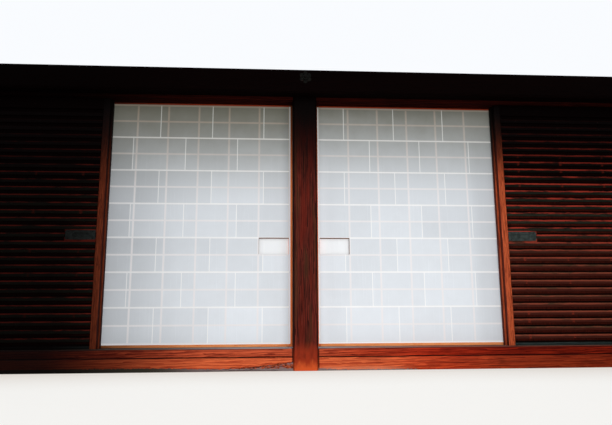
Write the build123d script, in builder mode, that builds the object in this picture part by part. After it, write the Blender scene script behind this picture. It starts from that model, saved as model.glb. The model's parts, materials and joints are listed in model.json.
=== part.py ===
from build123d import *
import os

# A pair of paper sliding screens in their timber frame, with the two battened sliding doors
# of each bay that share their sill and head rail. Millimetres, Z up, X along the frame.
# The origin is the centre of the middle post's foot. The paper faces look towards -Y.

# Posts and bays
post_size = 176.0
post_chamfer = 10.0
bay_clear = 2784.0            # from post face to post face

# Timbers across each bay
setback = 8.0                 # how far the cross timbers stand behind the post faces
ground_sill_height = 94.0
track_sill_height = 62.0
opening_height = 1818.0       # sill top to head underside, six shaku
head_rail_height = 70.0
sill_arris = 3.0
worn_corner = 20.0            # rounding worn into the left sill's end beside the middle post
tenon_length = 30.0
tenon_width = 56.0
tenon_shoulder = 14.0
head_tenon_cover = 7.0        # wood between the head's grooves and its tenons

# Beam across the faces of the posts
beam_reveal = 20.0            # strip of head rail left showing under the beam
beam_height = 176.0
beam_thickness = 99.0
beam_chamfer = 14.0

# Tracks: front and middle for the battened doors, rear for the paper screens
front_track_inset = 50.5      # from the sill's front face to the front groove's centre
track_pitch = 42.5
groove_width = 21.0
sill_groove_depth = 3.0
head_groove_depth = 18.0
groove_side_clearance = 1.5
floor_clearance = 0.3         # under a leaf's tongue
sill_gap = 1.0                # under a leaf's shoulders
head_gap = 3.0                # above a leaf's shoulders
head_engagement = 12.0        # how far a leaf's tongue stands up into the head groove
post_gap = 1.0                # between a leaf's edge and a post
rail_tenon_width = 9.0
rail_tenon_shoulder = 5.0

# Paper screen
screen_thickness = 33.0
screen_stile = 27.0
screen_top_rail = 22.0
screen_bottom_rail = 31.0
screen_tenon = 18.0
screen_overlap = 26.8         # how far a screen reaches past the middle of the bay
columns = 6
rows = 14
bar_width = 9.0
bar_depth = 18.0
bar_tenon_length = 8.0
bar_tenon_depth = 8.0
paper_rebate = 1.0
paper_thickness = 0.5
paper_lap = 12.5              # paper pasted over the inner edge of the frame
seam_width = 7.0
rows_per_strip = 2
short_sheet = 203.0           # first sheet of the odd strips
long_sheet = 401.0            # first sheet of the even strips
seam_pitch = 388.5
pull_row = 8                  # rows above the finger pull's cell

# Battened door
door_thickness = 36.0
door_overlap = 10.0           # how far a door reaches past the middle of the bay
door_stile = 45.0
door_top_rail = 82.0
door_bottom_rail = 20.0
door_tenon = 28.0
middle_door_offset = 10.0     # the middle door stands this much nearer the middle post
left_doors_ahead = 26.0       # both left doors stand this much nearer the middle post
batten_count = 30
batten_height = 29.0
batten_thickness = 12.0
batten_chamfer = 3.0
batten_inset = 3.0            # battens behind the stile's face
board_count = 5
board_thickness = 9.0
board_tongue = 6.0
board_gap = 0.6               # shrinkage gap between boards

# Finger pull plate of the front doors
pull_batten = 13              # battens below the plate
plate_length = 212.0
plate_height = 68.0
plate_thickness = 2.0
plate_start = 4.0             # from the leading stile
plate_notch = 6.0
dish_length = 112.0
dish_height = 34.0
dish_depth = 8.0
dish_wall = 1.5
dish_clearance = 1.0
carrier_gap = 0.5             # between a plate carrier and the next batten

# Nail cover on the beam
cover_rise = 30.0             # above the middle of the beam
petal_count = 6
petal_radius = 17.0
petal_ring = 31.0
cover_thickness = 5.0
cover_boss_radius = 23.0
cover_boss_height = 11.0
cover_boss_taper = 30.0       # degrees
cover_knob_radius = 10.0
cover_knob_height = 26.0
cover_rounding = 1.5

# Heights and places worked out from the sizes above
sill_top = ground_sill_height + track_sill_height
head_underside = sill_top + opening_height
head_top = head_underside + head_rail_height
beam_bottom = head_underside + beam_reveal
post_height = beam_bottom + beam_height
timber_front = setback - post_size / 2
timber_back = -timber_front
bay_start = post_size / 2
bay_middle = bay_start + bay_clear / 2
bay_end = bay_start + bay_clear
end_post_x = bay_end + post_size / 2
track_y = [timber_front + front_track_inset + i * track_pitch for i in range(3)]
tongue_width = groove_width - 2 * groove_side_clearance
leaf_bottom = sill_top + sill_gap
leaf_top = head_underside - head_gap
tongue_bottom = sill_top - sill_groove_depth + floor_clearance
tongue_top = head_underside + head_engagement

screen_front = track_y[2] - screen_thickness / 2
screen_near = bay_start + post_gap
screen_far = bay_middle + screen_overlap
field_near = screen_near + screen_stile
field_far = screen_far - screen_stile
cell_width = (field_far - field_near - (columns - 1) * bar_width) / columns
field_bottom = leaf_bottom + screen_bottom_rail
field_top = leaf_top - screen_top_rail
cell_height = (field_top - field_bottom - (rows - 1) * bar_width) / rows
upright_x = [field_near + (i + 1) * (cell_width + bar_width) - bar_width / 2 for i in range(columns - 1)]
cross_z = [field_top - (i + 1) * (cell_height + bar_width) + bar_width / 2 for i in range(rows - 1)]
bar_front = screen_front + paper_rebate
bar_back = bar_front + bar_depth
bar_middle = bar_front + bar_depth / 2
paper_front = bar_front - paper_thickness
paper_near = field_near - paper_lap
paper_far = field_far + paper_lap
paper_bottom = field_bottom - paper_lap
paper_top = field_top + paper_lap

door_width = bay_end - post_gap - (bay_middle - door_overlap)
front_door_near = bay_end - post_gap - door_width
batten_bottom = leaf_bottom + door_bottom_rail
batten_top = leaf_top - door_top_rail
batten_gap = (batten_top - batten_bottom - batten_count * batten_height) / (batten_count + 1)
batten_pitch = batten_height + batten_gap
batten_z = [batten_bottom + batten_gap + batten_height / 2 + i * batten_pitch for i in range(batten_count)]
carrier_length = plate_start + plate_length + plate_start


def block(low, high, mode=Mode.ADD):
    """A squared timber, or a squared cut, between its lowest and highest corners."""
    with Locations(low):
        Box(*[b - a for a, b in zip(low, high)], align=(Align.MIN, Align.MIN, Align.MIN), mode=mode)


def save(name, part):
    part.label = name
    export_step(part, f"parts/{name}.step")


def save_pair(name, right, left=None):
    """The right-hand piece, and the left-hand one as its mirror image."""
    save(f"right_{name}", right)
    save(f"left_{name}", mirror(left if left else right, about=Plane.YZ))


# Frame

# Lowest and highest points of the tenons of the three timbers across a bay
ground_tenon = (tenon_shoulder, ground_sill_height - tenon_shoulder)
sill_tenon = (ground_sill_height + tenon_shoulder, sill_top - tenon_shoulder)
head_tenon = (head_underside + head_groove_depth + head_tenon_cover, head_top - tenon_shoulder)


def post(x, bay_sides):
    """A chamfered post at x, mortised on each side (+1 right, -1 left) where a bay begins."""
    with BuildPart() as timber:
        with BuildSketch(Plane.XY) as section:
            with Locations((x, 0)):
                Rectangle(post_size, post_size)
            chamfer(section.vertices(), post_chamfer)
        extrude(amount=post_height)
        for side in bay_sides:
            face = x + side * post_size / 2
            ends = sorted((face, face - side * tenon_length))
            for low, high in (ground_tenon, sill_tenon, head_tenon):
                block((ends[0], -tenon_width / 2, low), (ends[1], tenon_width / 2, high), Mode.SUBTRACT)
    return timber.part


def tenons(low, high):
    block((bay_start - tenon_length, -tenon_width / 2, low), (bay_start, tenon_width / 2, high))
    block((bay_end, -tenon_width / 2, low), (bay_end + tenon_length, tenon_width / 2, high))


def ground_sill():
    with BuildPart() as timber:
        block((bay_start, timber_front, 0), (bay_end, timber_back, ground_sill_height))
        tenons(*ground_tenon)
    return timber.part


def track_sill(worn):
    """The sill with three shallow grooves. Wear has rounded its lip beside the middle post."""
    with BuildPart() as timber:
        block((bay_start, timber_front, ground_sill_height), (bay_end, timber_back, sill_top))
        front_arris = timber.edges().filter_by(Axis.X).group_by(Axis.Y)[0].sort_by(Axis.Z)[-1]
        fillet(front_arris, sill_arris)
        for y in track_y:
            block((bay_start, y - groove_width / 2, sill_top - sill_groove_depth),
                  (bay_end, y + groove_width / 2, sill_top), Mode.SUBTRACT)
        if worn:
            with BuildSketch(Plane.XZ.offset(-timber_front)):
                with Locations((bay_start, sill_top)):
                    Rectangle(worn_corner, worn_corner, align=(Align.MIN, Align.MAX))
                with Locations((bay_start + worn_corner, sill_top - worn_corner)):
                    Circle(worn_corner, mode=Mode.SUBTRACT)
            extrude(amount=groove_width / 2 - front_track_inset, mode=Mode.SUBTRACT)
        tenons(*sill_tenon)
    return timber.part


def head_rail():
    with BuildPart() as timber:
        block((bay_start, timber_front, head_underside), (bay_end, timber_back, head_top))
        for y in track_y:
            block((bay_start, y - groove_width / 2, head_underside),
                  (bay_end, y + groove_width / 2, head_underside + head_groove_depth), Mode.SUBTRACT)
        tenons(*head_tenon)
    return timber.part


def face_beam():
    """The deep beam across the front of the posts, housed over each of them."""
    reach = end_post_x + post_size / 2
    with BuildPart() as timber:
        block((-reach, timber_front - beam_thickness, beam_bottom), (reach, timber_front, post_height))
        lower_arris = timber.edges().filter_by(Axis.X).group_by(Axis.Y)[0].sort_by(Axis.Z)[0]
        chamfer(lower_arris, beam_chamfer)
        for x in (-end_post_x, 0, end_post_x):
            block((x - post_size / 2, -post_size / 2, beam_bottom),
                  (x + post_size / 2, timber_front, post_height), Mode.SUBTRACT)
    return timber.part


def nail_cover():
    """A six-petalled iron cover with a raised boss and a central knob."""
    face = timber_front - beam_thickness
    height = beam_bottom + beam_height / 2 + cover_rise
    plane = Plane(origin=(0, face, height), x_dir=(1, 0, 0), z_dir=(0, -1, 0))
    with BuildPart() as cover:
        with BuildSketch(plane):
            Circle(petal_ring)
            with PolarLocations(petal_ring, petal_count, start_angle=90):
                Circle(petal_radius)
        extrude(amount=cover_thickness)
        with BuildSketch(plane.offset(cover_thickness)):
            Circle(cover_boss_radius)
        extrude(amount=cover_boss_height - cover_thickness, taper=cover_boss_taper)
        with BuildSketch(plane.offset(cover_boss_height)):
            Circle(cover_knob_radius)
        extrude(amount=cover_knob_height - cover_boss_height)
        chamfer(cover.faces().sort_by(Axis.Y)[0].edges(), cover_rounding)
    return cover.part


# Leaves: every stile and rail carries part of the tongue that runs in the grooves

def stile(x_low, x_high, y, thickness):
    block((x_low, y - thickness / 2, leaf_bottom), (x_high, y + thickness / 2, leaf_top))
    block((x_low, y - tongue_width / 2, tongue_bottom), (x_high, y + tongue_width / 2, tongue_top))


def top_rail(x_low, x_high, y, thickness, height):
    block((x_low, y - thickness / 2, leaf_top - height), (x_high, y + thickness / 2, leaf_top))
    block((x_low, y - tongue_width / 2, leaf_top), (x_high, y + tongue_width / 2, tongue_top))


def bottom_rail(x_low, x_high, y, thickness, height):
    block((x_low, y - thickness / 2, leaf_bottom), (x_high, y + thickness / 2, leaf_bottom + height))
    block((x_low, y - tongue_width / 2, tongue_bottom), (x_high, y + tongue_width / 2, leaf_bottom))


def rail_tenons(x_low, x_high, y, length, bottom, top, mode=Mode.ADD):
    """The rail's tenon as one bar, reaching `length` into each stile; cut out, it is the mortise."""
    block((x_low - length, y - rail_tenon_width / 2, bottom + rail_tenon_shoulder),
          (x_high + length, y + rail_tenon_width / 2, top - rail_tenon_shoulder), mode)


# Paper screen

def screen_stile_piece(x_low, x_high):
    y = track_y[2]
    with BuildPart() as piece:
        stile(x_low, x_high, y, screen_thickness)
        rail_tenons(field_near, field_far, y, screen_tenon, leaf_bottom, field_bottom, Mode.SUBTRACT)
        rail_tenons(field_near, field_far, y, screen_tenon, field_top, leaf_top, Mode.SUBTRACT)
        for z in cross_z:
            block((field_near - bar_tenon_length, bar_middle - bar_tenon_depth / 2, z - bar_width / 2),
                  (field_far + bar_tenon_length, bar_middle + bar_tenon_depth / 2, z + bar_width / 2),
                  Mode.SUBTRACT)
        block((paper_near, screen_front, paper_bottom), (paper_far, bar_front, paper_top), Mode.SUBTRACT)
    return piece.part


def screen_rail_piece(make_rail, height, tenon_bottom, tenon_top):
    y = track_y[2]
    with BuildPart() as piece:
        make_rail(field_near, field_far, y, screen_thickness, height)
        rail_tenons(field_near, field_far, y, screen_tenon, tenon_bottom, tenon_top)
        for x in upright_x:
            block((x - bar_width / 2, bar_middle - bar_tenon_depth / 2, field_bottom - bar_tenon_length),
                  (x + bar_width / 2, bar_middle + bar_tenon_depth / 2, field_top + bar_tenon_length),
                  Mode.SUBTRACT)
        block((field_near, screen_front, paper_bottom), (field_far, bar_front, paper_top), Mode.SUBTRACT)
    return piece.part


def upright_bars():
    """Upright bars, halved from behind where the cross bars pass."""
    middle = (field_bottom + field_top) / 2
    length = field_top - field_bottom
    with BuildPart() as bars:
        for x in upright_x:
            with BuildSketch(Plane.YZ.offset(x - bar_width / 2)):
                with Locations((bar_middle, middle)):
                    Rectangle(bar_depth, length)
                    Rectangle(bar_tenon_depth, length + 2 * bar_tenon_length)
                with Locations(*[(bar_middle, z) for z in cross_z]):
                    Rectangle(bar_depth / 2, bar_width, align=(Align.MIN, Align.CENTER), mode=Mode.SUBTRACT)
            extrude(amount=bar_width)
    return bars.part


def cross_bars():
    """Cross bars, halved from the front where the upright bars pass."""
    middle = (field_near + field_far) / 2
    length = field_far - field_near
    with BuildPart() as bars:
        for z in cross_z:
            with BuildSketch(Plane.XY.offset(z - bar_width / 2)):
                with Locations((middle, bar_middle)):
                    Rectangle(length, bar_depth)
                    Rectangle(length + 2 * bar_tenon_length, bar_tenon_depth)
                with Locations(*[(x, bar_middle) for x in upright_x]):
                    Rectangle(bar_width, bar_depth / 2, align=(Align.CENTER, Align.MAX), mode=Mode.SUBTRACT)
            extrude(amount=bar_width)
    return bars.part


# The finger pull's cell, between two cross bars in the column beside the middle post
pull_top = cross_z[pull_row - 1] - bar_width / 2
pull_bottom = pull_top - cell_height
pull_far = field_near + cell_width


def paper():
    """Sheets pasted like courses of masonry: each strip is two rows high, and where two sheets
    lap the paper is double. The cell of the finger pull is cut out."""
    lap_front = paper_front - paper_thickness
    strip_edges = [paper_top] + [cross_z[i] for i in range(rows_per_strip - 1, rows - 1, rows_per_strip)]
    strip_edges.append(paper_bottom)
    with BuildPart() as sheet:
        block((paper_near, paper_front, paper_bottom), (paper_far, bar_front, paper_top))
        for z in strip_edges[1:-1]:
            block((paper_near, lap_front, z - seam_width / 2), (paper_far, paper_front, z + seam_width / 2))
        for i in range(len(strip_edges) - 1):
            x = paper_near + (long_sheet if i % 2 else short_sheet)
            while x < paper_far - seam_width:
                block((x - seam_width / 2, lap_front, strip_edges[i + 1]),
                      (x + seam_width / 2, paper_front, strip_edges[i]))
                x += seam_pitch
        block((field_near, lap_front, pull_bottom), (pull_far, bar_front, pull_top), Mode.SUBTRACT)
    return sheet.part


def pull_paper():
    """The sheet behind the lattice that closes the finger pull's cell."""
    with BuildPart() as sheet:
        block((field_near, bar_back, pull_bottom - bar_width / 2),
              (pull_far + bar_width / 2, bar_back + paper_thickness, pull_top + bar_width / 2))
    return sheet.part


def save_screens():
    save_pair("screen_near_stile", screen_stile_piece(screen_near, field_near))
    save_pair("screen_far_stile", screen_stile_piece(field_far, screen_far))
    save_pair("screen_top_rail", screen_rail_piece(top_rail, screen_top_rail, field_top, leaf_top))
    save_pair("screen_bottom_rail",
              screen_rail_piece(bottom_rail, screen_bottom_rail, leaf_bottom, field_bottom))
    save_pair("screen_upright_bars", upright_bars())
    save_pair("screen_cross_bars", cross_bars())
    save_pair("screen_paper", paper())
    save_pair("screen_pull_paper", pull_paper())


# Battened doors

def door_boards(near, far, y):
    """Upright boards side by side, their edges let into the frame around them."""
    front = y - door_thickness / 2 + batten_inset + batten_thickness
    low = near + door_stile - board_tongue
    width = (far - near - 2 * (door_stile - board_tongue) - (board_count - 1) * board_gap) / board_count
    with BuildPart() as boards:
        with BuildSketch(Plane.XY.offset(batten_bottom - board_tongue)):
            with Locations(*[(low + i * (width + board_gap), front) for i in range(board_count)]):
                Rectangle(width, board_thickness, align=(Align.MIN, Align.MIN))
        extrude(amount=batten_top - batten_bottom + 2 * board_tongue)
    return boards.part


def board_slot(near, far, y):
    front = y - door_thickness / 2 + batten_inset + batten_thickness
    block((near + door_stile - board_tongue, front, batten_bottom - board_tongue),
          (far - door_stile + board_tongue, front + board_thickness, batten_top + board_tongue),
          Mode.SUBTRACT)


def door_stile_piece(x_low, near, far, y):
    with BuildPart() as piece:
        stile(x_low, x_low + door_stile, y, door_thickness)
        for low, high in ((leaf_bottom, batten_bottom), (batten_top, leaf_top)):
            rail_tenons(near + door_stile, far - door_stile, y, door_tenon, low, high, Mode.SUBTRACT)
        board_slot(near, far, y)
    return piece.part


def door_rail_piece(make_rail, height, near, far, y, tenon_bottom, tenon_top):
    with BuildPart() as piece:
        make_rail(near + door_stile, far - door_stile, y, door_thickness, height)
        rail_tenons(near + door_stile, far - door_stile, y, door_tenon, tenon_bottom, tenon_top)
        board_slot(near, far, y)
    return piece.part


def door_battens(near, far, y, with_plate):
    """Chamfered battens from stile to stile. The one beside the pull plate begins after it,
    and two short carriers between its neighbours hold the plate."""
    front = y - door_thickness / 2 + batten_inset
    left, right = near + door_stile, far - door_stile
    whole = [z for i, z in enumerate(batten_z) if not (with_plate and i == pull_batten)]
    cut = batten_z[pull_batten]
    with BuildPart() as battens:
        runs = [(left, whole)]
        if with_plate:
            runs.append((left + carrier_length, [cut]))
        for start, heights in runs:
            with BuildSketch(Plane.YZ.offset(start)) as section:
                with Locations(*[(front, z) for z in heights]):
                    Rectangle(batten_thickness, batten_height, align=(Align.MIN, Align.CENTER))
                chamfer(section.vertices().group_by(Axis.Y)[0], batten_chamfer)
            extrude(amount=right - start)
        if with_plate:
            clear = dish_height / 2 + dish_clearance
            reach = batten_pitch - batten_height / 2 - carrier_gap
            for low, high in ((cut - reach, cut - clear), (cut + clear, cut + reach)):
                block((left, front, low), (left + carrier_length, front + batten_thickness, high))
    return battens.part


def pull_plate(near, y):
    """An iron plate with its far corners notched round, and a finger dish sunk in it."""
    back = y - door_thickness / 2 + batten_inset
    left = near + door_stile + plate_start
    z = batten_z[pull_batten]
    plane = Plane(origin=(left, back, z), x_dir=(1, 0, 0), z_dir=(0, -1, 0))
    with BuildPart() as plate:
        with BuildSketch(plane) as outline:
            Rectangle(plate_length, plate_height, align=(Align.MIN, Align.CENTER))
            with Locations((plate_length, -plate_height / 2), (plate_length, plate_height / 2)):
                Circle(plate_notch, mode=Mode.SUBTRACT)
        extrude(amount=plate_thickness)
        with BuildSketch(plane):
            with Locations((plate_length / 2, 0)):
                SlotOverall(dish_length, dish_height)
        extrude(amount=-dish_depth)
        with BuildSketch(plane.offset(plate_thickness)):
            with Locations((plate_length / 2, 0)):
                SlotOverall(dish_length - 2 * dish_wall, dish_height - 2 * dish_wall)
        extrude(amount=dish_wall - dish_depth - plate_thickness, mode=Mode.SUBTRACT)
    return plate.part


def save_doors(name, near, y, with_plate):
    """The right-hand door, and the left-hand one that stands a little nearer the middle post."""
    far = near + door_width
    pieces = {
        "lead_stile": door_stile_piece(near, near, far, y),
        "back_stile": door_stile_piece(far - door_stile, near, far, y),
        "top_rail": door_rail_piece(top_rail, door_top_rail, near, far, y, batten_top, leaf_top),
        "bottom_rail": door_rail_piece(bottom_rail, door_bottom_rail, near, far, y, leaf_bottom, batten_bottom),
        "boards": door_boards(near, far, y),
        "battens": door_battens(near, far, y, with_plate),
    }
    if with_plate:
        pieces["pull_plate"] = pull_plate(near, y)
    for piece, right in pieces.items():
        save_pair(f"{name}_{piece}", right, right.moved(Location((-left_doors_ahead, 0, 0))))


os.makedirs("parts", exist_ok=True)
save("centre_post", post(0, (-1, 1)))
save("right_post", post(end_post_x, (-1,)))
save("left_post", post(-end_post_x, (1,)))
save_pair("ground_sill", ground_sill())
save_pair("track_sill", track_sill(worn=False), track_sill(worn=True))
save_pair("head_rail", head_rail())
save("face_beam", face_beam())
save("nail_cover", nail_cover())
save_screens()
save_doors("front_door", front_door_near, track_y[0], with_plate=True)
save_doors("middle_door", front_door_near - middle_door_offset, track_y[1], with_plate=False)
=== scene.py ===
"""Two paper sliding screens and their battened doors in a post frame, dressed for rendering.
Metres, Z up, X along the frame. The paper faces look towards -Y."""
import json
import math
import random

import bmesh
import bpy
from mathutils import Matrix, Vector


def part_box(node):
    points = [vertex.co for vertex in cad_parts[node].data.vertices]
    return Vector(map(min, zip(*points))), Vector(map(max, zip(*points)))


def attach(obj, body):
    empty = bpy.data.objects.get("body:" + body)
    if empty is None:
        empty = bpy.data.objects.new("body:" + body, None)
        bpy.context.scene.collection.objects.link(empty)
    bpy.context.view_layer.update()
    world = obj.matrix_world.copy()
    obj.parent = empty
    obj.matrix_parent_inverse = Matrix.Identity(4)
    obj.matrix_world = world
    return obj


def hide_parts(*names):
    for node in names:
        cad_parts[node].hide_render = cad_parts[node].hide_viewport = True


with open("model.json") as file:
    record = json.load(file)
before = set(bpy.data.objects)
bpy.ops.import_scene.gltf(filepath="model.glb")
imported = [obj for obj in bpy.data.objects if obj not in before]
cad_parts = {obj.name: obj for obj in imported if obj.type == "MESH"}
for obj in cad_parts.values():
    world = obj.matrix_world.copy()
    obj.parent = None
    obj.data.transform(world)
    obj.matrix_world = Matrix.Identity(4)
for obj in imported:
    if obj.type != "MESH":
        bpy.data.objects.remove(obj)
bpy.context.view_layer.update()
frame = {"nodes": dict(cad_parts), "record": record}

# What the frame says
body_of = {node: body for body, nodes in frame["record"]["behaviour"]["bodies"].items() for node in nodes}
sides = (("left", -1), ("right", 1))

post_low, post_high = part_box("centre_post")
post_face = post_low.y
post_half = post_high.x
post_chamfer = 0.011
sill_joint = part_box("right_ground_sill")[1].z
sill_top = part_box("right_track_sill")[1].z
sill_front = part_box("right_track_sill")[0].y
bay_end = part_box("right_post")[0].x
post_spacing = bay_end + post_half

# Lattice of the right screen, mirrored for the left one
columns = 6
rows = 14
bar_width = 0.009
rows_per_strip = 2
pull_row = 8
short_sheet = 0.203
long_sheet = 0.401
seam_pitch = 0.3885
level_seam = 0.009
upright_seam = 0.006
bar_above_pull = 0.006
bar_beside_pull = 0.0015
field_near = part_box("right_screen_near_stile")[1].x
field_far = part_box("right_screen_far_stile")[0].x
field_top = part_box("right_screen_top_rail")[0].z
field_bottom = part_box("right_screen_bottom_rail")[1].z
column_pitch = (field_far - field_near + bar_width) / columns
row_pitch = (field_top - field_bottom + bar_width) / rows
lattice_width = columns * column_pitch
lattice_height = rows * row_pitch
first_column = field_near - bar_width / 2
last_column = first_column + lattice_width
top_line = field_top + bar_width / 2
bottom_line = top_line - lattice_height
paper_low, paper_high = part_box("right_screen_paper")
paper_thickness = 0.0005
paper_front = paper_high.y - paper_thickness

# Further than any edge of the object
beyond = 9.0

# Battens of a door
batten_count = 30
batten_height = 0.029
pull_batten = 13
batten_low, batten_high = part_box("right_middle_door_battens")
batten_pitch = (batten_high.z - batten_low.z - batten_height) / (batten_count - 1)
batten_end_gap = 0.004
nail_rows = 4
first_nail = 1.633
nail_spacing = 0.332
left_doors_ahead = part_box("right_front_door_battens")[0].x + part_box("left_front_door_battens")[1].x


# Camera at the photograph's viewing angle, and its light
lens = 32.37
camera_place = (-0.2369, -4.0156, 0.4332)
camera_turn = math.radians(-3.534)
camera_tilt = math.radians(9.787)
camera_roll = math.radians(-0.260)


def make_camera():
    data = bpy.data.cameras.new("camera")
    data.sensor_fit = "HORIZONTAL"
    data.sensor_width = 36
    data.lens = lens
    camera = bpy.data.objects.new("camera", data)
    bpy.context.collection.objects.link(camera)
    camera.matrix_world = (Matrix.Translation(camera_place) @ Matrix.Rotation(camera_turn, 4, "Z")
                           @ Matrix.Rotation(math.pi / 2 + camera_tilt, 4, "X")
                           @ Matrix.Rotation(camera_roll, 4, "Z"))
    bpy.context.scene.camera = camera


def softbox(name, place, aim, size, power):
    """A rectangular lamp that the camera doesn't see."""
    data = bpy.data.lights.new(name, "AREA")
    data.shape = "RECTANGLE"
    data.size, data.size_y = size
    data.energy = power
    lamp = bpy.data.objects.new(name, data)
    bpy.context.collection.objects.link(lamp)
    lamp.location = place
    lamp.rotation_euler = (Vector(aim) - Vector(place)).to_track_quat("-Z", "Y").to_euler()
    lamp.visible_camera = False
    return lamp


# Shader sockets in Python arithmetic

class Shade:
    """A shader socket. Arithmetic on it adds Math nodes, and its methods add other nodes."""

    def __init__(self, tree, link):
        self.tree = tree
        self.link = link

    def node(self, kind, settings, values, output=0):
        """A new node: its settings first, then the values or links of its sockets."""
        made = self.tree.nodes.new("ShaderNode" + kind)
        for key, setting in settings.items():
            setattr(made, key, setting)
        for key, value in values.items():
            if isinstance(value, Shade):
                self.tree.links.new(value.link, made.inputs[key])
            else:
                made.inputs[key].default_value = value
        return Shade(self.tree, made.outputs[output])

    def maths(self, operation, *values):
        return self.node("Math", {"operation": operation}, dict(enumerate(values)))

    def __add__(self, other):
        return self.maths("ADD", self, other)

    def __radd__(self, other):
        return self.maths("ADD", other, self)

    def __sub__(self, other):
        return self.maths("SUBTRACT", self, other)

    def __rsub__(self, other):
        return self.maths("SUBTRACT", other, self)

    def __mul__(self, other):
        return self.maths("MULTIPLY", self, other)

    def __rmul__(self, other):
        return self.maths("MULTIPLY", other, self)

    def __truediv__(self, other):
        return self.maths("DIVIDE", self, other)

    def __pow__(self, other):
        return self.maths("POWER", self, other)

    def __mod__(self, other):
        return self.maths("FLOORED_MODULO", self, other)

    def __abs__(self):
        return self.maths("ABSOLUTE", self)

    def __floor__(self):
        return self.maths("FLOOR", self)

    def sign(self):
        return self.maths("SIGN", self)

    def either(self, other):
        return self.maths("MAXIMUM", self, other)

    def shaken(self, noise, reach):
        """Moved both ways by a noise around 0.5, over the reach in all."""
        return self + (noise - 0.5) * reach

    def from_nearest(self, pitch):
        """The distance from the nearest whole number of pitches."""
        return abs((self + pitch / 2) % pitch - pitch / 2)

    def ease(self, low, high):
        """0 below low and 1 above high, with a soft step between. It falls if low is above high."""
        return self.node("MapRange", {"interpolation_type": "SMOOTHSTEP"}, {0: self, 1: low, 2: high})

    def mix(self, first, second, way="MIX"):
        """The first colour where this is 0 and the second where it is 1."""
        return self.node("Mix", {"data_type": "RGBA", "blend_type": way},
                         {0: self, 6: first, 7: second}, output=2)

    def scaled(self, *factors):
        return self.node("VectorMath", {"operation": "MULTIPLY"}, {0: self, 1: factors})

    def moved(self, *steps):
        return self.node("VectorMath", {"operation": "ADD"}, {0: self, 1: steps})

    def turned(self, *angles):
        return self.node("Mapping", {}, {"Vector": self, "Rotation": angles})

    def axis(self, number):
        return self.node("SeparateXYZ", {}, {0: self}, output=number)

    def noise(self, scale, detail=3.0, roughness=0.6):
        return self.node("TexNoise", {}, {"Vector": self, "Scale": scale, "Detail": detail,
                                          "Roughness": roughness})

    def chance(self, other, third=0.0):
        """A random value for each pair or triple of whole numbers."""
        spot = self.node("CombineXYZ", {}, {0: self, 1: other, 2: third})
        return self.node("TexWhiteNoise", {}, {"Vector": spot})

    def bump(self, distance, strength):
        return self.node("Bump", {}, {"Height": self, "Distance": distance, "Strength": strength})


def display(red, green, blue):
    """A colour as a screen shows it, 0 to 255, turned into linear light."""
    return (*[((c / 255 + 0.055) / 1.055) ** 2.4 if c > 10 else c / 255 / 12.92
              for c in (red, green, blue)], 1.0)


def start(name):
    """A new material with its shader and its Object coordinates."""
    material = bpy.data.materials.new(name)
    material.use_nodes = True
    tree = material.node_tree
    shader = tree.nodes["Principled BSDF"]
    place = Shade(tree, tree.nodes.new("ShaderNodeTexCoord").outputs["Object"])
    return material, shader, place


def feed(shader, **values):
    """Sets the shader's sockets, named with underscores, to values or links."""
    for key, value in values.items():
        socket = shader.inputs[key.replace("_", " ")]
        if isinstance(value, Shade):
            value.tree.links.new(value.link, socket)
        else:
            socket.default_value = value


# Wood

along_x, along_z = 0, 2
grain_stretch = 0.07
grain_tilt = 0.02
ring_scale = 0.314
ring_sharpness = 1.6
ring_share = 0.42
fibre_share = 0.55
cloud_share = 0.55
tone_range = (0.35, 0.98)
streak_share = 0.45
streak_darkness = 0.45
# Smoke and painted shade darken the tops of the timbers, and painted shade their ends
smoke_and_shade_heights = (1.20, 1.92)
smoke_and_shade_wander = 0.12
left_dusk_places = (-0.70, -1.80)
right_dusk_places = (0.60, 1.60)
dusk_wander = 0.30
between_rails = (1.0, 1.4)
soot_and_shade_black = display(4, 1, 1)


def wood(name, grain, pale, dark, seed, ring=0.012, rough=0.5, shine=0.04, soot_and_shade=1.0,
         left_dusk=0.965, right_dusk=0.0, touch=None):
    """Old stained softwood. grain is the axis that its fibres follow, seed its place in the log
    and ring the width of a year's growth. Smoke and painted shade blacken it above head height
    by the share soot_and_shade, and painted shade darkens its ends by the shares left_dusk and
    right_dusk. touch adds what one timber has."""
    material, shader, place = start(name)
    along = [1.0, 1.0, 1.0]
    along[grain] = grain_stretch
    tilt = [0.0, 0.0, 0.0]
    tilt[(grain + 1) % 3] = grain_tilt
    heart = (seed * 0.37, seed * 0.11 + 0.05, seed * 0.23 - 0.06)
    log = place.moved(*heart).turned(*tilt).scaled(*along)
    rings = log.node("TexWave",
                     {"wave_type": "RINGS", "rings_direction": "XYZ"[grain], "wave_profile": "SAW"},
                     {"Vector": log, "Scale": ring_scale / ring, "Distortion": 9.0, "Detail": 3.0,
                      "Detail Scale": 2.2, "Detail Roughness": 0.55})
    fibre = log.noise(130.0, detail=4.0, roughness=0.65)
    streak = log.noise(60.0).ease(0.56, 0.72)
    cloud = log.noise(9.0, roughness=0.55)
    tone = rings ** ring_sharpness * ring_share + fibre * fibre_share + cloud * cloud_share
    colour = tone.ease(*tone_range).mix(pale, dark)
    streak_colour = [c * streak_darkness for c in dark[:3]] + [1.0]
    colour = (streak * streak_share).mix(colour, streak_colour)
    if touch:
        colour = touch(place, colour, cloud)
    x, z = place.axis(0), place.axis(2)
    # Smoke and painted shade darken the top, and painted shade darkens the ends
    smoke_and_shade = z.shaken(cloud, smoke_and_shade_wander).ease(*smoke_and_shade_heights) * soot_and_shade
    clear = (1 - smoke_and_shade) * (1 - x.shaken(cloud, dusk_wander).ease(*left_dusk_places) * left_dusk)
    if right_dusk:
        clear = clear * (1 - x.shaken(cloud, dusk_wander).ease(*right_dusk_places) * right_dusk)
    colour = clear.mix(soot_and_shade_black, colour)
    relief = fibre * 0.6 + rings * 0.4
    feed(shader, Base_Color=colour, Roughness=rough + fibre * 0.22 - rings * 0.05,
         Specular_IOR_Level=shine, Normal=relief.bump(0.0012, 0.55))
    return material


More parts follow.
